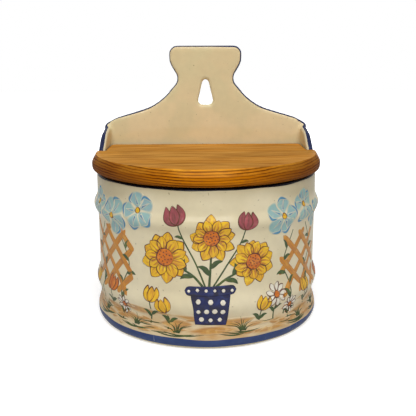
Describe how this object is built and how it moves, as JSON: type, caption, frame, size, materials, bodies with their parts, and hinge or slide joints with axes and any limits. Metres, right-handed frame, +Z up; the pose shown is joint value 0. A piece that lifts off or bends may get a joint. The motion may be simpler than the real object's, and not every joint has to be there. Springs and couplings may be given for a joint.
{
  "type": "salt box",
  "caption": "Wall-hung ceramic salt box: half-round hooped pot with cheeks and a shaped back plate with a hanging hole, closed by a wooden lid hinged on dowels.",
  "frame": {"origin": "on the base, in the middle of the line where the half-round front meets the straight sides", "axes": "+Z up, +Y towards the wall that it hangs on, +X to the right as seen from the front"},
  "size_m": [0.1726, 0.1323, 0.2036],
  "materials": {
    "glaze": "gloss cream glaze with painted decoration",
    "pine": "varnished pine",
    "dowel": "plain beech dowel"
  },
  "bodies": {
    "box": {"ceramic_body": "glaze"},
    "lid": {"lid": "pine", "hinge_pin_left": "dowel", "hinge_pin_right": "dowel"}
  },
  "joints": [
    {"name": "lid_hinge", "type": "hinge", "parent": "box", "child": "lid", "pos_m": [0, 0.0285, 0.119], "axis": [-1, 0, 0], "range_deg": [0, 94]}
  ]
}
